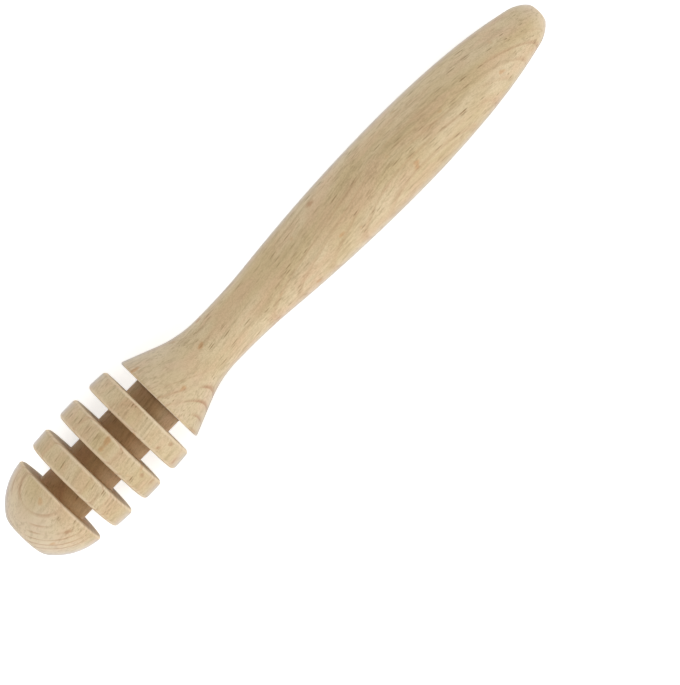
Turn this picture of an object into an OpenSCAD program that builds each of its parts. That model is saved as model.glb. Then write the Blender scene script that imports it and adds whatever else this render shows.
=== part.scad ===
// Wooden honey dipper: a turned head with three rings, glued by its tenon
// into the flared collar of a turned handle.
// Every outline is drawn along the axis of the dipper: x is the distance from
// the tip of the dome, y is the radius. The finished dipper lies on a table,
// with the head at -X and the end of the handle at +X.

/* [Overall] */
// Length from the tip of the dome to the end of the handle
overall_l = 160; // [150:1:190]

/* [Head outline] */
// Largest diameter of the barrel outline that rings and collar follow
barrel_d = 26; // [25:0.1:32]
// Radius of the long barrel curve along the head
barrel_curve = 138; // [90:1:300]
// Distance of the barrel's widest place from the tip of the dome
barrel_x = 26.1; // [20:0.1:34]

/* [Dome] */
// Length of the dome along the axis
dome_l = 11.45; // [10:0.05:12.4]
// Radius of the curve that the dome is turned to
dome_curve = 14; // [13:0.1:15]
// Diameter that the dome's curve reaches at its widest
dome_d = 24; // [22:0.1:25]
// Distance of that widest place from the tip
dome_x = 12.1; // [11.5:0.1:12.9]
// Radius of the arc that runs from the dome into its flat tip
tip_soft = 4.2; // [1:0.1:4.6]
// Radius on the dome's edge at the first groove
dome_edge = 0.7; // [0.1:0.05:1]

/* [Rings and grooves] */
// Number of rings
ring_n = 3; // [1:1:4]
// Width of each ring
ring_w = 5.2; // [4:0.05:5.6]
// Width of the groove between dome and first ring
dome_groove_w = 3.6; // [3:0.05:4.5]
// Width of the other grooves
groove_w = 3.45; // [3:0.05:4.2]
// Diameter of the core between the rings
core_d = 12.6; // [11:0.1:15]
// Radius on the outer edges of the rings
ring_edge = 1; // [0.1:0.05:1.2]
// Radius left by the tool at the foot of each ring
ring_foot = 0.25; // [0.1:0.05:0.8]

/* [Handle] */
// Diameter of the flared collar at its flat face
collar_d = 23; // [20:0.1:25.5]
// Radius on the rim of the collar
collar_edge = 0.4; // [0.1:0.05:0.6]
// Length of the flare, from the collar's face to the neck
flare_l = 18; // [16:0.1:24]
// Radius of the hollow sweep that ends the flare
flare_curve = 26.5; // [20:0.5:32]
// Diameter of the neck, the thinnest place
neck_d = 12.7; // [11:0.1:15]
// Length of the straight neck
neck_l = 2; // [0:0.1:6]
// Radius of the hollow curve that leaves the neck
neck_curve = 150; // [80:1:200]
// Diameter of the belly, where the hand holds
belly_d = 18.2; // [16.6:0.1:22]
// Distance of the belly from the tip of the dome
belly_x = 116; // [108:1:122]
// Radius of the long curve behind the belly
heel_curve = 245; // [200:1:400]
// Length of that curve behind the belly
heel_l = 21; // [12:1:24]
// Radius of the fuller curve before the end
shoulder_curve = 134; // [100:1:200]
// Radius of the nose that closes the end
nose_curve = 9; // [7:0.1:11]
// Diameter of the flat at the end, before its edge is softened
butt_d = 5.2; // [3:0.1:6]
// Radius that softens the edge of that flat
butt_soft = 0.9; // [0.2:0.1:1.2]

/* [Glued joint] */
// Diameter of the tenon on the head
tenon_d = 8; // [6:0.1:9]
// Length of the tenon
tenon_l = 14; // [8:0.5:18]
// Chamfer that leads the tenon in
tenon_lead = 0.8; // [0.3:0.1:1.5]
// Room for glue all round the tenon
glue_gap = 0.1; // [0.05:0.01:0.25]
// Room for spare glue past the end of the tenon
glue_well = 1; // [0.5:0.1:3]
// Full angle of the drill's point
drill_point = 118; // [90:1:140]

/* [Hidden] */
// Largest distance between a curve and the straight steps that draw it
curve_gap = 0.004;
// Faces drawn around a turned piece in a preview
around = 96;

core_r = core_d / 2;
tenon_r = tenon_d / 2;
socket_r = tenon_r + glue_gap;
seat_x = dome_l + dome_groove_w + ring_n * ring_w + ring_n * groove_w;
neck_x = seat_x + flare_l;
grip_x = neck_x + neck_l;
tenon_end = seat_x + tenon_l;
socket_end = tenon_end + glue_well;

function unit(v) = v / norm(v);
function heading(v) = atan2(v.y, v.x);

// Turn from one heading to another, the short way round
function turn(from, to) = let (d = to - from) d > 180 ? d - 360 : d < -180 ? d + 360 : d;

// Straight steps that keep an arc within curve_gap of its true line
function steps(r, angle) = max(2, ceil(abs(angle) / (2 * acos(1 - curve_gap / r))));

// Points of the arc about c, from heading a through the turn t
function arc(c, r, a, t) =
    let (n = steps(r, t))
    [for (i = [0:n]) c + r * [cos(a + t * i / n), sin(a + t * i / n)]];

// The corner at b between its neighbours a and c, rounded to radius r
function soft(a, b, c, r) =
    let (
        u = unit(a - b),
        v = unit(c - b),
        half = acos(u * v) / 2,
        centre = b + unit(u + v) * r / sin(half),
        p = b + u * r / tan(half),
        q = b + v * r / tan(half),
        start = heading(p - centre)
    )
    arc(centre, r, start, turn(start, heading(q - centre)));

// Where the softening arc of radius e sits, between the circle (c, r) and a wall at x
// that stands on its left (side 1) or on its right (side -1)
function nook(c, r, e, x, side) =
    let (cx = x + side * e)
    [cx, c.y + sqrt((r - e) * (r - e) - (cx - c.x) * (cx - c.x))];

// The rim between two walls: it follows the circle (c, r) and turns down to each wall with a small arc
function rim(from, to, c, r, soft_from, soft_to) =
    let (
        a = nook(c, r, soft_from, from, 1),
        b = nook(c, r, soft_to, to, -1),
        aim_a = heading(a - c),
        aim_b = heading(b - c)
    )
    concat(
        arc(a, soft_from, 180, aim_a - 180),
        arc(c, r, aim_a, aim_b - aim_a),
        arc(b, soft_to, aim_b, -aim_b)
    );

// The tool's radius in the corner of core and wall; side is 1 where the core goes on past the wall
function foot(x, side) =
    let (c = [x + side * ring_foot, core_r + ring_foot])
    side > 0 ? arc(c, ring_foot, 180, 90) : arc(c, ring_foot, -90, 90);

// The points of an outline without those that repeat the one before
function tidy(points) = [
    for (i = [0:len(points) - 1])
        if (i == 0 || norm(points[i] - points[max(i - 1, 0)]) > curve_gap / 4) points[i]
];

dome_c = [dome_x, dome_d / 2 - dome_curve];
barrel_c = [barrel_x, barrel_d / 2 - barrel_curve];

function ring_x(i) = dome_l + dome_groove_w + i * (ring_w + groove_w);

// One ring between two grooves, its rim on the barrel outline
function ring_outline(x) =
    concat(
        foot(x, -1),
        rim(x, x + ring_w, barrel_c, barrel_curve, ring_edge, ring_edge),
        foot(x + ring_w, 1)
    );

dome_outline = concat(
    [[0, 0]],
    rim(0, dome_l, dome_c, dome_curve, tip_soft, dome_edge),
    foot(dome_l, 1)
);

rings = [for (i = [0:ring_n - 1]) each ring_outline(ring_x(i))];

head_outline = tidy(concat(
    dome_outline,
    rings,
    [
        [seat_x, core_r],
        [seat_x, tenon_r],
        [tenon_end - tenon_lead, tenon_r],
        [tenon_end, tenon_r - tenon_lead],
        [tenon_end, 0]
    ]
));

// The sweep from collar to neck: a straight cone that runs out in a hollow arc
flare_c = [neck_x, neck_d / 2 + flare_curve];
collar_rim = [seat_x, collar_d / 2];
flare_start = heading(collar_rim - flare_c) + acos(flare_curve / norm(collar_rim - flare_c));
flare = arc(flare_c, flare_curve, flare_start, -90 - flare_start);

// The hollow arc behind the neck and the bulging arc before the belly meet in one slope
rise = (belly_d - neck_d) / 2;
run = belly_x - grip_x;
belly_curve = (run * run + rise * rise) / (2 * rise) - neck_curve;
meet_angle = asin(run / (neck_curve + belly_curve));

// Behind the belly a long arc runs into a fuller one
heel_angle = asin(heel_l / heel_curve);
heel_c = [belly_x, belly_d / 2 - heel_curve];
shoulder_c = heel_c + (heel_curve - shoulder_curve) * [sin(heel_angle), cos(heel_angle)];

// The nose touches the shoulder arc from inside and ends on the rim of the flat
butt = [overall_l, butt_d / 2];
nose_span = norm(butt - shoulder_c);
nose_side = shoulder_curve - nose_curve;
nose_lift = acos((nose_span ^ 2 + nose_side ^ 2 - nose_curve ^ 2) / (2 * nose_span * nose_side));
nose_aim = heading(butt - shoulder_c) + nose_lift;
nose_c = shoulder_c + nose_side * [cos(nose_aim), sin(nose_aim)];
nose = arc(nose_c, nose_curve, nose_aim, heading(butt - nose_c) - nose_aim);

handle_outline = tidy(concat(
    [[seat_x, socket_r]],
    soft([seat_x, socket_r], collar_rim, flare[0], collar_edge),
    flare,
    arc([grip_x, neck_d / 2 + neck_curve], neck_curve, -90, meet_angle),
    arc([belly_x, belly_d / 2 - belly_curve], belly_curve, 90 + meet_angle, -meet_angle),
    arc(heel_c, heel_curve, 90, -heel_angle),
    arc(shoulder_c, shoulder_curve, 90 - heel_angle, nose_aim - 90 + heel_angle),
    [for (i = [0:len(nose) - 2]) nose[i]],
    soft(nose[len(nose) - 2], butt, [overall_l, 0], butt_soft),
    [
        [overall_l, 0],
        [socket_end + socket_r / tan(drill_point / 2), 0],
        [socket_end, socket_r]
    ]
));

// The dipper lies on its rings and its handle: the line that touches both from below
outer = concat(dome_outline, rings, [for (p = handle_outline) if (p.y > socket_r || p.x == overall_l) p]);
rest_slope = max([
    for (a = rings) min([
        for (b = handle_outline) if (b.x > grip_x && b.x < overall_l) (a.y - b.y) / (b.x - a.x)
    ])
]);
rest_angle = atan(rest_slope);
rest_lift = max([for (p = outer) p.y * cos(rest_angle) + p.x * sin(rest_angle)]);
rest_low_x = min([for (p = outer) p.x * cos(rest_angle) - p.y * sin(rest_angle)]);
rest_high_x = max([for (p = outer) p.x * cos(rest_angle) + p.y * sin(rest_angle)]);

module as_it_lies()
    translate([-(rest_low_x + rest_high_x) / 2, 0, rest_lift])
        rotate([0, rest_angle, 0])
            children();

// Spins an outline about the axis, and lays the axis along X
module turned(outline)
    rotate([0, 90, 0])
        rotate_extrude($fn = around)
            polygon([for (p = outline) [p.y, p.x]]);

// Dome, rings and core in one piece, with the tenon behind them
module head()
    color("#d0b48c")
        as_it_lies()
            turned(head_outline);

// Collar, neck and grip in one piece, with the socket for the tenon
module handle()
    color("#d8bc94")
        as_it_lies()
            turned(handle_outline);

head();
handle();
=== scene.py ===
"""A turned wooden honey dipper, lying on a white table under soft daylight."""

from math import acos, asin, atan2, ceil, cos, pi, radians, sin, sqrt, tan

import bpy
from bpy.props import FloatProperty, FloatVectorProperty, IntProperty, PointerProperty, StringProperty
from mathutils import Matrix, Vector


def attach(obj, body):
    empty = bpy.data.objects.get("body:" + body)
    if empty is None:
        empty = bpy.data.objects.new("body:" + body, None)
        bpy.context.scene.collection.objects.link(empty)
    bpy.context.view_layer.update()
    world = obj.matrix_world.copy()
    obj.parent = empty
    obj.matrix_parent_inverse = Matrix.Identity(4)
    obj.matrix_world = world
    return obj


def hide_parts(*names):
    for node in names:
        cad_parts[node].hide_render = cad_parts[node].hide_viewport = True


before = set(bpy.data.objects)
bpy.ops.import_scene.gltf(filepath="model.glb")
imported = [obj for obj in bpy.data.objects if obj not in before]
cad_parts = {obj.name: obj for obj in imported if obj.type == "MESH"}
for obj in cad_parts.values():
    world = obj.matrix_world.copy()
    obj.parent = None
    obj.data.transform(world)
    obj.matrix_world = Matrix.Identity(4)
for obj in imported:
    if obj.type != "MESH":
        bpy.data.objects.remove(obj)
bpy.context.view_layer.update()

bl_info = {
    "name": "Honey dipper",
    "version": (1, 0, 0),
    "blender": (4, 5, 0),
    "location": "3D View > Sidebar > Dipper",
    "description": "Turns a wooden honey dipper on a lathe of geometry nodes and sets its stage",
    "category": "Add Mesh",
}

MM = 0.001
BODY = "root"
LATHE = "turn on the lathe"
# How squarely a surface cuts the grain: 0 along the stick, 1 across it
END_GRAIN = "end grain"
# Points of an outline that lie closer than this, in metres, are one point
SAME_POINT = 1e-6
# Points of a turned mesh that lie closer than this are joined, which closes its seam and its poles
WELD = 1e-7

# The sockets of a Mix node share their names, so they are called by their number
MIX_SHARE = 0
FIRST_NUMBER = 2
SECOND_NUMBER = 3
FIRST_COLOUR = 6
SECOND_COLOUR = 7
MIXED_COLOUR = 2

# Small orange marks in the wood: their place in the dipper, as distances from the tip along the axis,
# across it and up from it, then their length along the grain and their width, all in millimetres
HEAD_MARKS = (
    ((8.2, -5.9, 9.8), 2.4, 1.3),
    ((27.3, -8.6, 9.8), 1.6, 1.5),
    ((27.5, -11.1, 6.7), 2.8, 1.0),
    ((33.8, -7.1, 10.7), 1.3, 1.1),
    ((36.2, -8.4, 9.4), 1.5, 1.2),
    ((33.9, -11.5, 5.6), 2.6, 0.9),
)
HANDLE_MARKS = (
    ((93.9, 6.3, 5.7), 2.6, 1.8),
)

# Patterns in the wood: their size across the grain in millimetres, how many times as long they are
# along it, how many finer layers lie on them, the noise at which they start and at which they are full,
# and an offset that keeps one pattern from following another. Real fibres and pores are a few hundredths
# of a millimetre thick, which is too fine to show, so both are drawn coarser.
PATTERNS = {
    "cloud": (3.0, 3.5, 2, 0.35, 0.65, 0.0),
    "blush": (1.6, 3.0, 2, 0.4, 0.7, 0.31),
    "stain": (1.5, 1.6, 1, 0.7, 0.78, 0.57),
    "clear line": (4.0, 2.0, 1, 0.3, 0.5, 0.0),
    "rows": (2.2, 4.0, 1, 0.3, 0.6, 0.0),
    "streak": (0.5, 14.0, 1, 0.5, 0.72, 0.77),
    "fibre": (0.2, 6.0, 2, 0.48, 0.68, 0.0),
    "pores": (0.12, 1.6, 1, 0.4, 0.65, 0.0),
}

# Parts of a year's growth, from 0 to 1, over which its dark line or its many flecks fade in, then out
YEAR_LINE = ((0.6, 0.9), (0.9, 1.0))
LATE_FLECKS = ((0.3, 0.8), (0.85, 1.0))

# How strongly each colour is laid over those before it
STRENGTHS = {
    "blush": 0.5,
    "end": 0.6,
    "stain": 0.55,
    "mark": 0.55,
    "streak": 0.16,
    "fibre": 0.24,
    "pores": 0.16,
    "fleck": 0.7,
    # The edge is a painted highlight on the edges of the rings
    "edge": 0.25,
}

# Soft light panels round the table: bearing from +X and height above the table in degrees, and watts
PANELS = {
    "front panel": (270, 18, 2.5),
    "front right panel": (315, 18, 4.7),
    "back right panel": (45, 18, 3.6),
    "left panel": (180, 42, 5.0),
}


def length(name, description, default):
    """A size in metres, shown in the scene's unit."""
    return FloatProperty(name=name, description=description, default=default, min=0.0,
                         unit="LENGTH", subtype="DISTANCE", precision=5)


def lengths(name, description, default, subtype="TRANSLATION"):
    """A few lengths in metres, kept together."""
    return FloatVectorProperty(name=name, description=description, default=default, size=len(default),
                               unit="LENGTH", subtype=subtype, precision=5)


def colour(name, description, default):
    """A colour written as sRGB hex, such as #d2b68e."""
    return StringProperty(name=name, description=description, default=default, maxlen=7)


def linear(hex_colour):
    """The linear RGBA of an sRGB hex colour."""
    channels = [int(hex_colour[i:i + 2], 16) / 255 for i in (1, 3, 5)]
    return (*(c / 12.92 if c <= 0.04045 else ((c + 0.055) / 1.055) ** 2.4 for c in channels), 1.0)


class DipperHeadSizes(bpy.types.PropertyGroup):
    """The sizes of the head, along the axis from the tip of the dome."""

    barrel_d: length("Barrel diameter", "Largest diameter of the outline that the rings follow", 26 * MM)
    barrel_curve: length("Barrel curve", "Radius of that outline along the axis", 138 * MM)
    barrel_x: length("Barrel place", "Distance of its widest place from the tip", 26.1 * MM)
    dome_l: length("Dome length", "Length of the dome", 11.45 * MM)
    dome_curve: length("Dome curve", "Radius that the dome is turned to", 14 * MM)
    dome_d: length("Dome diameter", "Diameter that the dome's curve reaches", 24 * MM)
    dome_x: length("Dome place", "Distance of that diameter from the tip", 12.1 * MM)
    tip_soft: length("Tip softening", "Radius between the dome and its flat tip", 4.2 * MM)
    dome_edge: length("Dome edge", "Radius on the dome's edge at its groove", 0.7 * MM)
    ring_n: IntProperty(name="Rings", description="Number of rings", default=3, min=1, max=3)
    ring_w: length("Ring width", "Width of each ring", 5.2 * MM)
    dome_groove_w: length("First groove", "Width of the groove behind the dome", 3.6 * MM)
    groove_w: length("Groove width", "Width of the other grooves", 3.45 * MM)
    core_d: length("Core diameter", "Diameter between the rings", 12.6 * MM)
    ring_edge: length("Ring edge", "Radius on the outer edges of the rings", 1 * MM)
    ring_foot: length("Ring foot", "Radius that the tool leaves at the foot of a ring", 0.25 * MM)
    tenon_d: length("Tenon diameter", "Diameter of the tenon", 8 * MM)
    tenon_l: length("Tenon length", "Length of the tenon", 14 * MM)
    tenon_lead: length("Tenon chamfer", "Chamfer on the tenon's end", 0.8 * MM)


class DipperHandleSizes(bpy.types.PropertyGroup):
    """The sizes of the handle, along the axis from the tip of the dome."""

    overall_l: length("Overall length", "Length from the tip to the end of the handle", 160 * MM)
    collar_d: length("Collar diameter", "Diameter of the collar at its flat face", 23 * MM)
    collar_edge: length("Collar edge", "Radius on the rim of the collar", 0.4 * MM)
    flare_l: length("Flare length", "Length from the collar's face to the neck", 18 * MM)
    flare_curve: length("Flare curve", "Radius of the sweep from collar to neck", 26.5 * MM)
    neck_d: length("Neck diameter", "Thinnest diameter", 12.7 * MM)
    neck_l: length("Neck length", "Length of the straight neck", 2 * MM)
    neck_curve: length("Neck curve", "Radius of the hollow curve behind the neck", 150 * MM)
    belly_d: length("Belly diameter", "Thickest diameter of the grip", 18.2 * MM)
    belly_x: length("Belly place", "Distance of the belly from the tip", 116 * MM)
    heel_curve: length("Heel curve", "Radius of the long curve behind the belly", 245 * MM)
    heel_l: length("Heel length", "Length of that curve", 21 * MM)
    shoulder_curve: length("Shoulder curve", "Radius of the fuller curve before the end", 134 * MM)
    nose_curve: length("Nose curve", "Radius that closes the end", 9 * MM)
    butt_d: length("Butt diameter", "Diameter of the flat at the end", 5.2 * MM)
    butt_soft: length("Butt edge", "Radius on the edge of that flat", 0.9 * MM)
    glue_gap: length("Glue gap", "Room for glue round the tenon", 0.1 * MM)
    glue_well: length("Glue well", "Room for glue past the tenon's end", 1 * MM)
    drill_point: FloatProperty(name="Drill point", description="Full angle of the socket's end",
                               default=radians(118), subtype="ANGLE")


class DipperLathe(bpy.types.PropertyGroup):
    """How finely the pieces are turned, and the small unevenness that sanding by hand leaves."""

    around: IntProperty(name="Steps around", description="Faces around a piece", default=192, min=32)
    step: length("Step along", "Longest face along the outline", 0.45 * MM)
    chord: length("Chord error", "Largest gap between an arc and its faces", 0.001 * MM)
    lie_chord: length("Table's chord error", "The same gap in the outline that the table touches",
                      0.004 * MM)
    wander: length("Wander", "How far sanding leaves the surface from round", 0.05 * MM)
    wander_size: length("Wander size", "Distance over which it wanders", 9 * MM)
    true_r: length("True radius", "Radius below which the surface wanders less and less", 2 * MM)
    seed: IntProperty(name="Seed", description="Seed of the wander", default=7)


class DipperWood(bpy.types.PropertyGroup):
    """Colours and grain of the beech. The head and the handle are turned from two sticks, so each has
    its own pith: the tree's middle, measured across the dipper from its axis."""

    pale: colour("Pale wood", "The lightest of the wood's tones", "#d5c19c")
    yellow: colour("Yellow wood", "A cooler, straw-like tone", "#cab48a")
    pink: colour("Pink wood", "A warmer tone in cloudy patches", "#d2b08e")
    late: colour("Late wood", "The thin line that ends a year's growth", "#a8764f")
    fleck: colour("Ray fleck", "Short dark rays in the wood", "#74521c")
    stain: colour("Stain", "Small orange stains", "#c08a55")
    end: colour("End grain", "Where the surface cuts across the grain", "#dbcab0")
    # Groove is painted shade: it darkens and browns the core of the grooves, as shade and light bounced
    # between the rings would
    groove: colour("Groove", "Tint that the cutting tool leaves on the core", "#ffecd6")
    # Wall is painted shade: it darkens the walls of the grooves, where the neighbouring rings shade them
    wall: colour("Wall", "Tint that it leaves on the walls of the grooves", "#e2ded8")
    # Edge is a painted highlight: a pale line on the outer edges of the rings
    edge: colour("Edge", "Wood rubbed pale on the edges of the rings", "#ecd2ab")
    down: colour("Down", "Fine fuzz that sanding raises, seen where the wood turns away", "#c2cfe8")
    head_year: length("Head's years", "Thickness of a year's growth in the head", 1.3 * MM)
    handle_year: length("Handle's years", "Thickness of a year's growth in the handle", 1.5 * MM)
    head_pith: lengths("Head's pith", "Place of the pith beside the head's axis",
                       (0, -11.8 * MM, -23.2 * MM))
    handle_pith: lengths("Handle's pith", "Place of the pith beside the handle's axis",
                         (0, 20.1 * MM, -13.1 * MM))
    head_shown: lengths("Head's clear years", "Distances from the pith between which the years show",
                        (29 * MM, 37 * MM), "NONE")
    handle_shown: lengths("Handle's clear years", "Distances from the pith between which the years show",
                          (30 * MM, 40 * MM), "NONE")
    head_line: FloatProperty(name="Head's lines", description="Strength of the growth lines",
                             default=0.36, min=0.0, max=1.0, subtype="FACTOR")
    handle_line: FloatProperty(name="Handle's lines", description="Strength of the growth lines",
                               default=0.5, min=0.0, max=1.0, subtype="FACTOR")
    head_slope: FloatProperty(name="Head's slope", description="Turn of the grain away from the axis",
                              default=radians(10.8), subtype="ANGLE")
    handle_from: length("Handle's pith place", "Distance from the tip at which its pith is given",
                        48 * MM)
    wave: length("Wave", "How far the handle's grain winds to each side", 3.1 * MM)
    wave_l: length("Wave length", "Length over which it winds once", 124 * MM)
    wave_from: length("Wave place", "Where along the stick it winds farthest", 10 * MM)
    sway: lengths("Sway", "How far the grain strays along, across and up", (0, 4 * MM, 3 * MM))
    sway_l: length("Sway length", "Length over which it strays", 38.46 * MM)
    fleck_l: length("Fleck length", "Length of a ray fleck along the grain", 2.9 * MM)
    fleck_w: length("Fleck width", "Width of a ray fleck", 0.11 * MM)


class DipperStage(bpy.types.PropertyGroup):
    """Table, light and camera."""

    table: colour("Table", "Colour of the table", "#f4f4f2")
    table_l: length("Table size", "Side of the table", 1.6)
    lift: FloatProperty(name="Lift", description="Light that the table adds where it is looked at",
                        default=0.52, min=0.0)
    panel: length("Panel", "Side of a soft light panel", 0.5)
    reach: length("Panel distance", "Distance of the panels from the dipper", 1.0)
    fill: FloatProperty(name="Room light", description="Strength of the light from all round",
                        default=0.31, min=0.0)
    eye: lengths("Camera place", "From the tip along the axis, across it and up from it",
                 (43.025 * MM, 0, 442.88 * MM))
    aim: lengths("Camera aim", "What it looks at, measured in the same way",
                 (77.4515 * MM, -19.495 * MM, 0))
    roll: FloatProperty(name="Camera roll", description="Rise of the dipper's axis in the picture",
                        default=radians(45.61), subtype="ANGLE")
    lens: FloatProperty(name="Focal length", description="In millimetres, for a sensor 36 mm wide",
                        default=107.28, min=1.0, unit="CAMERA")


def arc(centre, radius, start, turn, chord):
    """Points of an arc, from the heading start through turn, both in radians."""
    steps = max(3, ceil(abs(turn) / (2 * acos(1 - chord / radius))))
    angles = (start + turn * i / steps for i in range(steps + 1))
    return [centre + radius * Vector((cos(a), sin(a))) for a in angles]


def heading(v):
    """The angle of a vector from +X."""
    return atan2(v.y, v.x)


def soft(before, corner, after, radius, chord):
    """The corner rounded to a radius."""
    u = (before - corner).normalized()
    v = (after - corner).normalized()
    half = acos(u.dot(v)) / 2
    centre = corner + (u + v).normalized() * radius / sin(half)
    start = heading(corner + u * radius / tan(half) - centre)
    end = heading(corner + v * radius / tan(half) - centre)
    turn = (end - start + pi) % (2 * pi) - pi
    return arc(centre, radius, start, turn, chord)


def nook(centre, radius, edge, wall, side):
    """Centre of the small arc between a circle and a wall, which stands left of it (1) or right (-1)."""
    x = wall + side * edge
    return Vector((x, centre.y + sqrt((radius - edge) ** 2 - (x - centre.x) ** 2)))


def rim(first, last, centre, radius, first_edge, last_edge, chord):
    """The outline between two walls, along a circle and softened at each wall."""
    a = nook(centre, radius, first_edge, first, 1)
    b = nook(centre, radius, last_edge, last, -1)
    aim_a = heading(a - centre)
    aim_b = heading(b - centre)
    return (arc(a, first_edge, pi, aim_a - pi, chord)
            + arc(centre, radius, aim_a, aim_b - aim_a, chord)
            + arc(b, last_edge, aim_b, -aim_b, chord))


def foot(wall, side, core, radius, chord):
    """The tool's radius where a wall meets the core, which goes on past the wall if side is 1."""
    centre = Vector((wall + side * radius, core + radius))
    start = pi if side > 0 else -pi / 2
    return arc(centre, radius, start, pi / 2, chord)


def seat(head):
    """Where the head's shoulder meets the collar."""
    return head.dome_l + head.dome_groove_w + head.ring_n * (head.ring_w + head.groove_w)


def head_outline(head, chord):
    """The head in (distance from the tip, radius), from the tip to the end of the tenon."""
    core = head.core_d / 2
    dome_centre = Vector((head.dome_x, head.dome_d / 2 - head.dome_curve))
    barrel_centre = Vector((head.barrel_x, head.barrel_d / 2 - head.barrel_curve))
    points = [Vector((0, 0))]
    points += rim(0, head.dome_l, dome_centre, head.dome_curve, head.tip_soft, head.dome_edge, chord)
    points += foot(head.dome_l, 1, core, head.ring_foot, chord)
    for i in range(head.ring_n):
        start = head.dome_l + head.dome_groove_w + i * (head.ring_w + head.groove_w)
        end = start + head.ring_w
        points += foot(start, -1, core, head.ring_foot, chord)
        points += rim(start, end, barrel_centre, head.barrel_curve, head.ring_edge, head.ring_edge, chord)
        points += foot(end, 1, core, head.ring_foot, chord)
    shoulder = seat(head)
    tenon = head.tenon_d / 2
    tenon_end = shoulder + head.tenon_l
    points += [Vector(p) for p in (
        (shoulder, core),
        (shoulder, tenon),
        (tenon_end - head.tenon_lead, tenon),
        (tenon_end, tenon - head.tenon_lead),
        (tenon_end, 0),
    )]
    return points


def handle_outline(handle, head, chord):
    """The handle in (distance from the tip, radius), from the socket's mouth round to its end."""
    face = seat(head)
    socket = head.tenon_d / 2 + handle.glue_gap
    socket_end = face + head.tenon_l + handle.glue_well
    neck = handle.neck_d / 2
    belly = handle.belly_d / 2

    # A straight cone from the collar's rim runs out in the hollow sweep of the flare
    thin = face + handle.flare_l
    grip = thin + handle.neck_l
    flare_centre = Vector((thin, neck + handle.flare_curve))
    corner = Vector((face, handle.collar_d / 2))
    reach = corner - flare_centre
    flare_start = heading(reach) + acos(handle.flare_curve / reach.length)
    flare = arc(flare_centre, handle.flare_curve, flare_start, -pi / 2 - flare_start, chord)

    # The hollow arc behind the neck and the bulging arc before the belly meet in one slope
    rise = belly - neck
    run = handle.belly_x - grip
    belly_curve = (run ** 2 + rise ** 2) / (2 * rise) - handle.neck_curve
    meet = asin(run / (handle.neck_curve + belly_curve))

    # Behind the belly a long arc runs into a fuller one, and the nose touches that from inside
    heel = asin(handle.heel_l / handle.heel_curve)
    heel_centre = Vector((handle.belly_x, belly - handle.heel_curve))
    fuller = handle.heel_curve - handle.shoulder_curve
    shoulder_centre = heel_centre + fuller * Vector((sin(heel), cos(heel)))
    butt = Vector((handle.overall_l, handle.butt_d / 2))
    span = (butt - shoulder_centre).length
    side = handle.shoulder_curve - handle.nose_curve
    lift = acos((span ** 2 + side ** 2 - handle.nose_curve ** 2) / (2 * span * side))
    aim = heading(butt - shoulder_centre) + lift
    nose_centre = shoulder_centre + side * Vector((cos(aim), sin(aim)))
    nose = arc(nose_centre, handle.nose_curve, aim, heading(butt - nose_centre) - aim, chord)
    nose = [p for p in nose if (p - butt).length > handle.butt_soft]

    points = [Vector((face, socket))]
    points += soft(points[0], corner, flare[0], handle.collar_edge, chord)
    points += flare
    points += arc(Vector((grip, neck + handle.neck_curve)), handle.neck_curve, -pi / 2, meet, chord)
    points += arc(Vector((handle.belly_x, belly - belly_curve)), belly_curve, pi / 2 + meet, -meet, chord)
    points += arc(heel_centre, handle.heel_curve, pi / 2, -heel, chord)
    points += arc(shoulder_centre, handle.shoulder_curve, pi / 2 - heel, aim - pi / 2 + heel, chord)
    points += nose
    points += soft(nose[-1], butt, Vector((handle.overall_l, 0)), handle.butt_soft, chord)
    points += [Vector(p) for p in (
        (handle.overall_l, 0),
        (socket_end + socket / tan(handle.drill_point / 2), 0),
        (socket_end, socket),
        (face, socket),
    )]
    return points


def lie(scene):
    """The matrix that lays the turned dipper on the table, as the solids lie: the line that touches
    rings and handle from below is made level."""
    head = scene.dipper_head
    handle = scene.dipper_handle
    chord = scene.dipper_lathe.lie_chord
    neck_end = seat(head) + handle.flare_l + handle.neck_l
    front = [p for p in head_outline(head, chord) if p.x < seat(head)]
    grip = [p for p in handle_outline(handle, head, chord)
            if neck_end < p.x <= handle.overall_l and p.y > 0]
    rings = [p for p in front if p.x > head.dome_l]
    bulge = [p for p in grip if p.x < handle.overall_l]
    angle = atan2(max(min((a.y - b.y) / (b.x - a.x) for b in bulge) for a in rings), 1)
    outer = front + grip
    low = min(p.x * cos(angle) - p.y * sin(angle) for p in outer)
    high = max(p.x * cos(angle) + p.y * sin(angle) for p in outer)
    lift = max(p.y * cos(angle) + p.x * sin(angle) for p in outer)
    return Matrix.Translation((-(low + high) / 2, 0, lift)) @ Matrix.Rotation(angle, 4, "Y")


def add(tree, kind, inputs=None, out=0, **settings):
    """Adds a node with its settings, and its inputs set to values or linked to sockets. Gives the
    output of that number or name."""
    node = tree.nodes.new(kind)
    for name, value in settings.items():
        setattr(node, name, value)
    for key, value in (inputs or {}).items():
        if isinstance(value, bpy.types.NodeSocket):
            tree.links.new(value, node.inputs[key])
        else:
            node.inputs[key].default_value = value
    return node.outputs[out] if node.outputs else None


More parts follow.
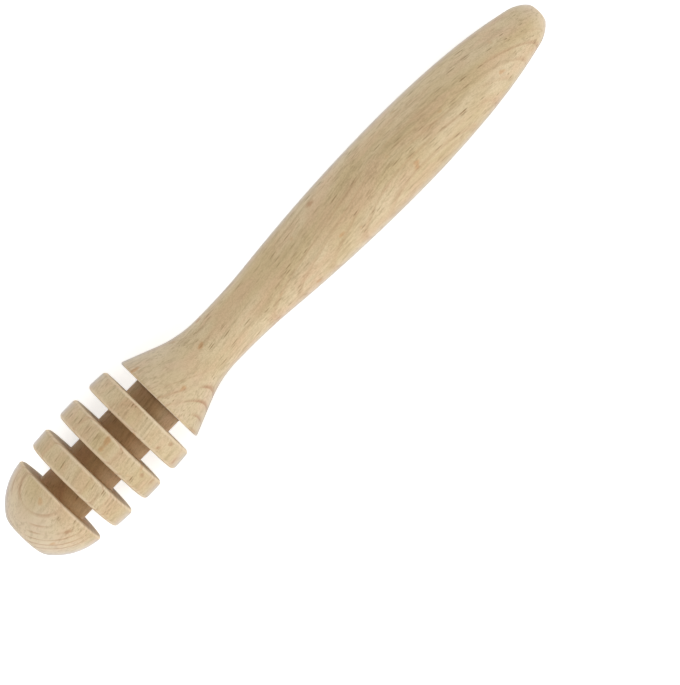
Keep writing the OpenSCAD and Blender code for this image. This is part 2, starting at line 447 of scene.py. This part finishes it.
def lathe_tree():
    """Geometry nodes that spin an outline, drawn in x and y, about the X axis."""
    tree = bpy.data.node_groups.new(LATHE, "GeometryNodeTree")
    for name, kind in (("Outline", "NodeSocketGeometry"), ("Steps around", "NodeSocketInt"),
                       ("Wander", "NodeSocketFloat"), ("Wander size", "NodeSocketFloat"),
                       ("True radius", "NodeSocketFloat"), ("Seed", "NodeSocketInt"),
                       ("Wood", "NodeSocketMaterial")):
        tree.interface.new_socket(name, in_out="INPUT", socket_type=kind)
    tree.interface.new_socket("Turned", in_out="OUTPUT", socket_type="NodeSocketGeometry")
    given = add(tree, "NodeGroupInput").node.outputs

    # A grid with one row for each point of the outline, whose last column closes on the first
    count = add(tree, "GeometryNodeAttributeDomainSize", {"Geometry": given["Outline"]}, "Point Count",
                component="MESH")
    columns = add(tree, "FunctionNodeIntegerMath", {0: given["Steps around"], 1: 1}, operation="ADD")
    grid = add(tree, "GeometryNodeMeshGrid", {"Vertices X": count, "Vertices Y": columns})
    index = add(tree, "GeometryNodeInputIndex")
    row = add(tree, "FunctionNodeIntegerMath", {0: index, 1: columns}, operation="DIVIDE_FLOOR")
    column = add(tree, "FunctionNodeIntegerMath", {0: index, 1: columns}, operation="MODULO")
    place = add(tree, "GeometryNodeInputPosition")
    drawn = add(tree, "GeometryNodeSampleIndex", {
        "Geometry": given["Outline"], "Value": place, "Index": row},
        data_type="FLOAT_VECTOR", domain="POINT")
    drawn = add(tree, "ShaderNodeSeparateXYZ", {0: drawn}).node.outputs
    share = add(tree, "ShaderNodeMath", {0: column, 1: given["Steps around"]}, operation="DIVIDE")
    # Turned this way round, the faces of the grid point outwards
    angle = add(tree, "ShaderNodeMath", {0: share, 1: -2 * pi}, operation="MULTIPLY")

    def spun(radius):
        """The outline's points at a radius, each turned to the angle of its column."""
        flat = add(tree, "ShaderNodeCombineXYZ", {"X": drawn["X"], "Y": radius})
        return add(tree, "ShaderNodeVectorRotate", {"Vector": flat, "Angle": angle},
                   rotation_type="X_AXIS")

    # The radius wanders a little, and less and less towards the axis
    scale = add(tree, "ShaderNodeMath", {0: 1.0, 1: given["Wander size"]}, operation="DIVIDE")
    noise = add(tree, "ShaderNodeTexNoise", {
        "Vector": spun(drawn["Y"]), "W": given["Seed"], "Scale": scale, "Detail": 2.0, "Roughness": 0.5},
        noise_dimensions="4D")
    swing = add(tree, "ShaderNodeMath", {0: noise, 1: 0.5}, operation="SUBTRACT")
    swing = add(tree, "ShaderNodeMath", {0: swing, 1: given["Wander"]}, operation="MULTIPLY")
    free = add(tree, "ShaderNodeMath", {0: drawn["Y"], 1: given["True radius"]},
               operation="DIVIDE", use_clamp=True)
    radius = add(tree, "ShaderNodeMath", {0: swing, 1: free, 2: drawn["Y"]}, operation="MULTIPLY_ADD")
    moved = add(tree, "GeometryNodeSetPosition", {"Geometry": grid, "Position": spun(radius)})
    closed = add(tree, "GeometryNodeMergeByDistance", {"Geometry": moved, "Distance": WELD})

    facing = add(tree, "ShaderNodeSeparateXYZ", {0: add(tree, "GeometryNodeInputNormal")}, "X")
    cut = add(tree, "ShaderNodeMath", {0: facing}, operation="ABSOLUTE")
    marked = add(tree, "GeometryNodeStoreNamedAttribute", {
        "Geometry": closed, "Name": END_GRAIN, "Value": cut}, data_type="FLOAT", domain="POINT")
    smooth = add(tree, "GeometryNodeSetShadeSmooth", {"Geometry": marked, "Shade Smooth": True})
    real = add(tree, "GeometryNodeRealizeInstances", {"Geometry": smooth})
    dressed = add(tree, "GeometryNodeSetMaterial", {"Geometry": real, "Material": given["Wood"]})
    add(tree, "NodeGroupOutput", {0: dressed})
    return tree


def fine(points, step):
    """The outline without repeated points, and with long stretches cut up."""
    kept = [points[0]]
    for p in points[1:]:
        gap = (p - kept[-1]).length
        if gap < SAME_POINT:
            continue
        last = kept[-1]
        parts = max(1, ceil(gap / step))
        kept += [last.lerp(p, i / parts) for i in range(1, parts + 1)]
    return kept


def turned_piece(name, outline, lathe, wood, laid):
    """Spins an outline on the lathe, lays the piece on the table and gives it as a plain mesh."""
    points = fine(outline, lathe.step)
    drawing = bpy.data.meshes.new(name + "_outline")
    drawing.from_pydata([(p.x, p.y, 0) for p in points], [(i, i + 1) for i in range(len(points) - 1)], [])
    blank = bpy.data.objects.new(name + "_blank", drawing)
    bpy.context.collection.objects.link(blank)
    modifier = blank.modifiers.new("Lathe", "NODES")
    modifier.node_group = bpy.data.node_groups.get(LATHE) or lathe_tree()
    values = {"Steps around": lathe.around, "Wander": lathe.wander, "Wander size": lathe.wander_size,
              "True radius": lathe.true_r, "Seed": lathe.seed, "Wood": wood}
    for item in modifier.node_group.interface.items_tree:
        if item.in_out == "INPUT" and item.name in values:
            modifier[item.identifier] = values[item.name]
    spun = blank.evaluated_get(bpy.context.evaluated_depsgraph_get())
    mesh = bpy.data.meshes.new_from_object(spun)
    bpy.data.objects.remove(blank)
    bpy.data.meshes.remove(drawing)
    if not mesh.polygons:
        raise RuntimeError(name + " came off the lathe with no faces")
    mesh.name = name
    mesh.transform(laid)
    piece = bpy.data.objects.new(name, mesh)
    bpy.context.collection.objects.link(piece)
    return piece


def patches(tree, place, size, stretch, detail, start, full, offset):
    """Patches of one of the wood's patterns: 0 between them and 1 inside, with soft rims."""
    spread = add(tree, "ShaderNodeMapping", {"Vector": place, "Location": (offset, offset, offset),
                                             "Scale": (1 / stretch, 1, 1)})
    noise = add(tree, "ShaderNodeTexNoise", {
        "Vector": spread, "Scale": 0.5 / (size * MM), "Detail": detail})
    return add(tree, "ShaderNodeMapRange", {"Value": noise, "From Min": start, "From Max": full},
               interpolation_type="SMOOTHSTEP")


def window(tree, value, rise, fall):
    """1 where a value lies in a window. It fades in over the span rise, and out over the span fall."""
    after = add(tree, "ShaderNodeMapRange", {"Value": value, "From Min": rise[0], "From Max": rise[1]},
                interpolation_type="SMOOTHSTEP")
    before = add(tree, "ShaderNodeMapRange", {
        "Value": value, "From Min": fall[0], "From Max": fall[1], "To Min": 1.0, "To Max": 0.0},
        interpolation_type="SMOOTHSTEP")
    return add(tree, "ShaderNodeMath", {0: after, 1: before}, operation="MULTIPLY")


def strayed(tree, place, size, reach):
    """A place moved about, by up to half the reach each way, over distances of one size."""
    stray = add(tree, "ShaderNodeTexNoise", {"Vector": place, "Scale": 1 / size, "Detail": 1.0}, "Color")
    stray = add(tree, "ShaderNodeVectorMath", {0: stray, 1: (0.5, 0.5, 0.5)}, operation="SUBTRACT")
    return add(tree, "ShaderNodeVectorMath", {0: stray, 1: reach, 2: place}, operation="MULTIPLY_ADD")


def from_axis(tree, place):
    """Distance of a place from the X axis."""
    across = add(tree, "ShaderNodeVectorMath", {0: place, 1: (0, 1, 1)}, operation="MULTIPLY")
    return add(tree, "ShaderNodeVectorMath", {0: across}, "Value", operation="LENGTH")


def mark(tree, place, centre, long, wide):
    """A mark of one length and width round its centre, with a soft rim."""
    away = add(tree, "ShaderNodeVectorMath", {0: place, 1: Vector(centre) * MM}, operation="SUBTRACT")
    half = Vector((long, wide, wide)) * MM / 2
    away = add(tree, "ShaderNodeVectorMath", {0: away, 1: half}, operation="DIVIDE")
    away = add(tree, "ShaderNodeVectorMath", {0: away}, "Value", operation="LENGTH")
    return add(tree, "ShaderNodeMapRange", {
        "Value": away, "From Min": 0.3, "From Max": 1.2, "To Min": 1.0, "To Max": 0.0},
        interpolation_type="SMOOTHSTEP")


def overlap(tree, *amounts):
    """How far several patterns fall together: the product of their amounts."""
    together = amounts[0]
    for amount in amounts[1:]:
        together = add(tree, "ShaderNodeMath", {0: together, 1: amount}, operation="MULTIPLY")
    return together


def layer(tree, tone, over, *amounts, blend="MIX"):
    """A tone with a colour laid over it where several patterns fall together."""
    return add(tree, "ShaderNodeMix", {MIX_SHARE: overlap(tree, *amounts), FIRST_COLOUR: tone,
                                       SECOND_COLOUR: linear(over)},
               MIXED_COLOUR, data_type="RGBA", blend_type=blend)


def along_grain(tree, axis, wood, stick):
    """The place along and across the grain, which slopes, sways and winds in the stick."""
    grain = add(tree, "ShaderNodeVectorMath", {0: axis, 1: (stick["from"], 0, 0)}, operation="SUBTRACT")
    grain = add(tree, "ShaderNodeMapping", {"Vector": grain, "Rotation": (0, 0, -stick["slope"])})
    along = add(tree, "ShaderNodeSeparateXYZ", {0: grain}, "X")
    pace = 2 * pi / wood.wave_l
    farthest = pace * wood.wave_from
    turn = add(tree, "ShaderNodeMath", {0: along, 1: pace, 2: -farthest}, operation="MULTIPLY_ADD")
    wind = add(tree, "ShaderNodeMath", {0: turn}, operation="COSINE")
    wave = stick["wave"]
    wind = add(tree, "ShaderNodeMath", {0: wind, 1: wave, 2: -wave * cos(farthest)},
               operation="MULTIPLY_ADD")
    wind = add(tree, "ShaderNodeCombineXYZ", {"Y": wind})
    grain = strayed(tree, grain, wood.sway_l, wood.sway)
    return add(tree, "ShaderNodeVectorMath", {0: grain, 1: wind}, operation="ADD")


def beech(name, wood, stick, laid, head=None):
    """Beech, turned and sanded and left bare: pale, close and even, with faint year rings, many short
    dark ray flecks along the grain and a dull silky surface. The wood is solid in three dimensions, and
    its stick says how the grain runs in it. The head's sizes place the painted shade in its grooves
    and the painted highlight on the edges of its rings."""
    material = bpy.data.materials.new(name)
    material.use_nodes = True
    tree = material.node_tree
    tree.nodes.clear()

    # Places in the dipper, in its stick, and in the trunk: along it, round it and out from its pith
    back = laid.inverted()
    axis = add(tree, "ShaderNodeMapping", {
        "Vector": add(tree, "ShaderNodeTexCoord", out="Object"),
        "Location": back.to_translation(), "Rotation": back.to_euler()})
    grain = along_grain(tree, axis, wood, stick)
    pith = stick["pith"]
    trunk = add(tree, "ShaderNodeVectorMath", {0: grain, 1: pith}, operation="SUBTRACT")
    depth = from_axis(tree, trunk)
    trunk = add(tree, "ShaderNodeSeparateXYZ", {0: trunk}).node.outputs
    bearing = add(tree, "ShaderNodeMath", {0: trunk["Y"], 1: trunk["Z"]}, operation="ARCTAN2")
    bearing = add(tree, "ShaderNodeMath", {0: bearing, 1: pith.length}, operation="MULTIPLY")
    grain = add(tree, "ShaderNodeVectorMath", {0: grain, 1: (stick["seed"], 0, 0)}, operation="ADD")
    shape = {name: patches(tree, grain, *pattern) for name, pattern in PATTERNS.items()}

    # A year's growth ends in a thin line, which shows best where the surface cuts across the grain
    cut = add(tree, "ShaderNodeAttribute", out="Fac", attribute_name=END_GRAIN)
    season = add(tree, "ShaderNodeMath", {0: depth, 1: stick["year"]}, operation="DIVIDE")
    season = add(tree, "ShaderNodeMath", {0: season}, operation="FRACT")
    near, far = stick["shown"]
    fade = 0.5 * MM
    across_grain = add(tree, "ShaderNodeMapRange", {
        "Value": cut, "From Min": 0.1, "From Max": 0.4, "To Min": 0.5, "To Max": 1.5},
        interpolation_type="SMOOTHSTEP")
    line = overlap(tree, window(tree, season, *YEAR_LINE), shape["clear line"], across_grain,
                   window(tree, depth, (near - fade, near + fade), (far - fade, far + fade)))

    # Rays are thin upright sheets round the pith, seen as short dashes, and each has room round it. Most
    # are faint and a few are dark. They gather in rows and late in the year, and where the surface cuts
    # across the grain they hardly show.
    sheets = add(tree, "ShaderNodeCombineXYZ", {"X": trunk["X"], "Y": bearing, "Z": depth})
    room = Vector((1.6 * wood.fleck_l, 3 * wood.fleck_w, 4 * wood.fleck_w))
    sheets = add(tree, "ShaderNodeVectorMath", {0: sheets, 1: room}, operation="DIVIDE")
    cells = add(tree, "ShaderNodeTexVoronoi", {"Vector": sheets, "Scale": 1.0}, feature="F1").node.outputs
    dash = add(tree, "ShaderNodeMapRange", {
        "Value": cells["Distance"], "From Min": 0.12, "From Max": 0.4, "To Min": 1.0, "To Max": 0.0},
        interpolation_type="SMOOTHSTEP")
    dark = add(tree, "ShaderNodeSeparateColor", {0: cells["Color"]})
    dark = add(tree, "ShaderNodeMath", {0: dark, 1: 2.5}, operation="POWER")
    dense = add(tree, "ShaderNodeMath", {0: shape["rows"], 1: 0.5, 2: 0.4}, operation="MULTIPLY_ADD")
    late = window(tree, season, *LATE_FLECKS)
    dense = add(tree, "ShaderNodeMath", {0: late, 1: 0.6, 2: dense}, operation="MULTIPLY_ADD")
    on_sides = add(tree, "ShaderNodeMapRange", {
        "Value": cut, "From Min": 0.15, "From Max": 0.6, "To Min": 1.0, "To Max": 0.15},
        interpolation_type="SMOOTHSTEP")
    fleck = overlap(tree, dash, dark, on_sides, dense)

    # The colours, each laid over those before it
    shows = STRENGTHS
    end = add(tree, "ShaderNodeMapRange", {"Value": cut, "From Min": 0.1, "From Max": 0.8},
              interpolation_type="SMOOTHSTEP")
    side = add(tree, "ShaderNodeMapRange", {
        "Value": cut, "From Min": 0.1, "From Max": 0.7, "To Min": 1.0, "To Max": 0.0},
        interpolation_type="SMOOTHSTEP")
    tone = layer(tree, linear(wood.yellow), wood.pale, shape["cloud"])
    tone = layer(tree, tone, wood.pink, shape["blush"], shows["blush"])
    tone = layer(tree, tone, wood.end, end, shows["end"])
    tone = layer(tree, tone, wood.stain, shape["stain"], shows["stain"])
    ragged = strayed(tree, axis, MM, (MM, MM, MM))
    for centre, long, wide in stick["marks"]:
        tone = layer(tree, tone, wood.late, mark(tree, ragged, centre, long, wide), shows["mark"])
    tone = layer(tree, tone, wood.late, line, stick["line"])
    tone = layer(tree, tone, wood.fleck, shape["streak"], shows["streak"])
    tone = layer(tree, tone, wood.fleck, shape["fibre"], shape["rows"], shows["fibre"])
    tone = layer(tree, tone, wood.fleck, shape["pores"], side, shows["pores"])
    tone = layer(tree, tone, wood.fleck, fleck, shows["fleck"])
    fuzz = 1.0
    if head:
        tone, fuzz = groove_shade_and_highlight(tree, tone, axis, head, wood)

    # Fibres and flecks lie a little deeper, and fibres are duller
    dent = add(tree, "ShaderNodeMath", {0: shape["fibre"], 1: fleck}, operation="ADD")
    bump = add(tree, "ShaderNodeBump", {"Strength": 0.3, "Distance": 0.015 * MM, "Height": dent},
               invert=True)
    rough = add(tree, "ShaderNodeMath", {0: shape["fibre"], 1: 0.08, 2: 0.55}, operation="MULTIPLY_ADD")
    surface = add(tree, "ShaderNodeBsdfPrincipled", {
        "Base Color": tone, "Roughness": rough, "IOR": 1.45, "Specular IOR Level": 0.5, "Normal": bump,
        "Sheen Weight": fuzz, "Sheen Roughness": 0.32, "Sheen Tint": linear(wood.down)})
    add(tree, "ShaderNodeOutputMaterial", {"Surface": surface})
    return material


def groove_shade_and_highlight(tree, tone, axis, head, wood):
    """The tone with painted shade and a painted highlight: the core and the walls of the grooves are
    darkened and browned as shade and light bounced between the rings would make them, and a pale line of
    painted highlight lies on the edges of the rings. Also gives where sanding has raised a fuzz: 0 in the
    grooves, which are cut crisp, and 1 on the rings."""
    core = head.core_d / 2
    barrel = head.barrel_d / 2
    first = head.dome_l + head.dome_groove_w
    # Radii: the painted shade on the core is full inside the first and gone at the second, the painted
    # shade on the walls is full from the third on, and the painted highlight lies on the edges outside
    # the last
    full_shade_radius = core + 0.7 * MM
    no_shade_radius = barrel - 2 * MM
    full_wall_shade_radius = core + 2.7 * MM
    rubbed = barrel - 2.5 * MM
    radius = from_axis(tree, axis)
    along = add(tree, "ShaderNodeSeparateXYZ", {0: axis}, "X")

    # How far a place lies inside the dome or a ring, measured along the axis: less than 0 in a groove
    in_dome = add(tree, "ShaderNodeMath", {0: head.dome_l, 1: along}, operation="SUBTRACT")
    in_ring = add(tree, "ShaderNodeMath", {0: along, 1: first}, operation="SUBTRACT")
    in_ring = add(tree, "ShaderNodeMath", {0: in_ring, 1: head.ring_w + head.groove_w},
                  operation="FLOORED_MODULO")
    to_end = add(tree, "ShaderNodeMath", {0: head.ring_w, 1: in_ring}, operation="SUBTRACT")
    in_ring = add(tree, "ShaderNodeMath", {0: in_ring, 1: to_end}, operation="MINIMUM")
    behind = add(tree, "ShaderNodeMath", {0: along, 1: first}, operation="GREATER_THAN")
    inside = add(tree, "ShaderNodeMix", {
        MIX_SHARE: behind, FIRST_NUMBER: in_dome, SECOND_NUMBER: in_ring}, data_type="FLOAT")

    groove = add(tree, "ShaderNodeMapRange", {
        "Value": inside, "From Min": 0.0, "From Max": 0.2 * MM, "To Min": 1.0, "To Max": 0.0},
        interpolation_type="SMOOTHSTEP")
    core_shade = add(tree, "ShaderNodeMapRange", {
        "Value": radius, "From Min": full_shade_radius, "From Max": no_shade_radius, "To Min": 1.0, "To Max": 0.0},
        interpolation_type="SMOOTHSTEP")
    wall = add(tree, "ShaderNodeMapRange", {
        "Value": radius, "From Min": full_shade_radius, "From Max": full_wall_shade_radius}, interpolation_type="SMOOTHSTEP")
    # The last groove, at the collar, gets less painted shade on its core
    last = add(tree, "ShaderNodeMath", {0: along, 1: seat(head) - head.groove_w},
               operation="GREATER_THAN")
    groove_shade_share = add(tree, "ShaderNodeMath", {0: last, 1: -0.45, 2: 1.0}, operation="MULTIPLY_ADD")
    # Painted shade on the core of the grooves: darker and browner, as shade and bounced light make it
    tone = layer(tree, tone, wood.groove, groove, core_shade, groove_shade_share, blend="MULTIPLY")
    # Painted shade on the walls of the grooves
    tone = layer(tree, tone, wood.wall, groove, wall, blend="MULTIPLY")

    # Painted highlight: a pale line along the outer edges of the rings
    edge = window(tree, inside, (0.1 * MM, 0.3 * MM), (0.4 * MM, 0.7 * MM))
    outer = add(tree, "ShaderNodeMath", {0: radius, 1: rubbed}, operation="GREATER_THAN")
    tone = layer(tree, tone, wood.edge, edge, outer, STRENGTHS["edge"])
    fuzz = add(tree, "ShaderNodeMapRange", {"Value": inside, "From Min": 0.1 * MM, "From Max": 1.1 * MM},
               interpolation_type="SMOOTHSTEP")
    return tone, fuzz


class DIPPER_OT_head(bpy.types.Operator):
    """Turn the head: dome, rings, core and tenon"""

    bl_idname = "dipper.head"
    bl_label = "Turn head"

    def execute(self, context):
        scene = context.scene
        head = scene.dipper_head
        wood = scene.dipper_wood
        laid = lie(scene)
        stick = {"pith": wood.head_pith, "from": 0.0, "slope": wood.head_slope, "wave": 0.0,
                 "seed": 0.2, "year": wood.head_year, "shown": wood.head_shown,
                 "line": wood.head_line, "marks": HEAD_MARKS}
        bare = beech("beech of the head, turned and sanded", wood, stick, laid, head)
        outline = head_outline(head, scene.dipper_lathe.chord)
        piece = turned_piece("turned_head", outline, scene.dipper_lathe, bare, laid)
        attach(piece, BODY)
        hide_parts("head")
        return {"FINISHED"}


class DIPPER_OT_handle(bpy.types.Operator):
    """Turn the handle: collar, neck, belly and socket"""

    bl_idname = "dipper.handle"
    bl_label = "Turn handle"

    def execute(self, context):
        scene = context.scene
        wood = scene.dipper_wood
        laid = lie(scene)
        stick = {"pith": wood.handle_pith, "from": wood.handle_from, "slope": 0.0, "wave": wood.wave,
                 "seed": 0.0, "year": wood.handle_year, "shown": wood.handle_shown,
                 "line": wood.handle_line, "marks": HANDLE_MARKS}
        bare = beech("beech of the handle, turned and sanded", wood, stick, laid)
        outline = handle_outline(scene.dipper_handle, scene.dipper_head, scene.dipper_lathe.chord)
        piece = turned_piece("turned_handle", outline, scene.dipper_lathe, bare, laid)
        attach(piece, BODY)
        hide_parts("handle")
        return {"FINISHED"}


def looked_at(tree):
    """1 for rays from the camera and for those that mirror or pass through a surface, else 0."""
    ray = add(tree, "ShaderNodeLightPath").node.outputs
    seen = ray["Is Camera Ray"]
    for name in ("Is Glossy Ray", "Is Transmission Ray"):
        seen = add(tree, "ShaderNodeMath", {0: seen, 1: ray[name]}, operation="MAXIMUM")
    return seen


def laminate(stage):
    """White laminate, pressed smooth and matt, and lifted to white where it is looked at."""
    material = bpy.data.materials.new("white laminate")
    material.use_nodes = True
    tree = material.node_tree
    tree.nodes.clear()
    matt = add(tree, "ShaderNodeBsdfDiffuse", {"Color": linear(stage.table)})
    lift = add(tree, "ShaderNodeEmission", {"Strength": stage.lift})
    none = add(tree, "ShaderNodeEmission", {"Strength": 0.0})
    seen = add(tree, "ShaderNodeMixShader", {0: looked_at(tree), 1: none, 2: lift})
    both = add(tree, "ShaderNodeAddShader", {0: matt, 1: seen})
    add(tree, "ShaderNodeOutputMaterial", {"Surface": both})
    return material


class DIPPER_OT_stage(bpy.types.Operator):
    """Set the table, the soft light and the camera"""

    bl_idname = "dipper.stage"
    bl_label = "Set stage"

    def execute(self, context):
        scene = context.scene
        self.table(scene)
        self.light(scene)
        self.camera(scene)
        scene.view_settings.view_transform = "Standard"
        return {"FINISHED"}

    def table(self, scene):
        """A square table under the dipper."""
        stage = scene.dipper_stage
        half = stage.table_l / 2
        mesh = bpy.data.meshes.new("table")
        corners = [(-half, -half, 0), (half, -half, 0), (half, half, 0), (-half, half, 0)]
        mesh.from_pydata(corners, [], [(0, 1, 2, 3)])
        mesh.materials.append(laminate(stage))
        top = bpy.data.objects.new("table", mesh)
        scene.collection.objects.link(top)

    def light(self, scene):
        """A pale room that is white where it is looked at, and soft panels round the table."""
        stage = scene.dipper_stage
        world = bpy.data.worlds.new("room")
        world.use_nodes = True
        tree = world.node_tree
        tree.nodes.clear()
        white = (1, 1, 1, 1)
        room = add(tree, "ShaderNodeBackground", {"Color": white, "Strength": stage.fill})
        backdrop = add(tree, "ShaderNodeBackground", {"Color": white, "Strength": 1.0})
        mixed = add(tree, "ShaderNodeMixShader", {0: looked_at(tree), 1: room, 2: backdrop})
        add(tree, "ShaderNodeOutputWorld", {"Surface": mixed})
        scene.world = world
        for name, (bearing, height, watts) in PANELS.items():
            lamp = bpy.data.lights.new(name, "AREA")
            lamp.size = stage.panel
            lamp.energy = watts
            out = Matrix.Rotation(radians(bearing), 3, "Z") @ Matrix.Rotation(-radians(height), 3, "Y")
            place = out @ Vector((stage.reach, 0, 0))
            panel = bpy.data.objects.new(name, lamp)
            aimed = (-place).to_track_quat("-Z", "Y").to_matrix().to_4x4()
            panel.matrix_world = Matrix.Translation(place) @ aimed
            scene.collection.objects.link(panel)

    def camera(self, scene):
        """The camera stands over the collar and looks down at the dipper, turned so that the handle
        points to the upper right."""
        stage = scene.dipper_stage
        ahead = (stage.aim - stage.eye).normalized()
        along = ahead.cross(Vector((0, 1, 0))).normalized()
        across = ahead.cross(along)
        right = cos(stage.roll) * along + sin(stage.roll) * across
        up = sin(stage.roll) * along - cos(stage.roll) * across
        turned = Matrix((right, up, -ahead)).transposed().to_4x4()
        lens = bpy.data.cameras.new("camera")
        lens.sensor_width = 36
        lens.lens = stage.lens
        lens.clip_start = 10 * MM
        camera = bpy.data.objects.new("camera", lens)
        camera.matrix_world = lie(scene) @ Matrix.Translation(stage.eye) @ turned
        scene.collection.objects.link(camera)
        scene.camera = camera


class DIPPER_PT_panel(bpy.types.Panel):
    """The stage and the pieces of the dipper, in the order in which they are made"""

    bl_idname = "DIPPER_PT_panel"
    bl_label = "Honey dipper"
    bl_space_type = "VIEW_3D"
    bl_region_type = "UI"
    bl_category = "Dipper"

    def draw(self, context):
        for operator in OPERATORS:
            self.layout.operator(operator.bl_idname)


GROUPS = {
    "dipper_head": DipperHeadSizes,
    "dipper_handle": DipperHandleSizes,
    "dipper_lathe": DipperLathe,
    "dipper_wood": DipperWood,
    "dipper_stage": DipperStage,
}
OPERATORS = (DIPPER_OT_stage, DIPPER_OT_head, DIPPER_OT_handle)


def register():
    for cls in (*GROUPS.values(), *OPERATORS, DIPPER_PT_panel):
        bpy.utils.register_class(cls)
    for name, cls in GROUPS.items():
        setattr(bpy.types.Scene, name, PointerProperty(type=cls))


def unregister():
    for name in GROUPS:
        delattr(bpy.types.Scene, name)
    for cls in reversed((*GROUPS.values(), *OPERATORS, DIPPER_PT_panel)):
        bpy.utils.unregister_class(cls)


def main():
    register()
    bpy.ops.dipper.stage()
    bpy.ops.dipper.head()
    bpy.ops.dipper.handle()


if __name__ == "__main__":
    main()
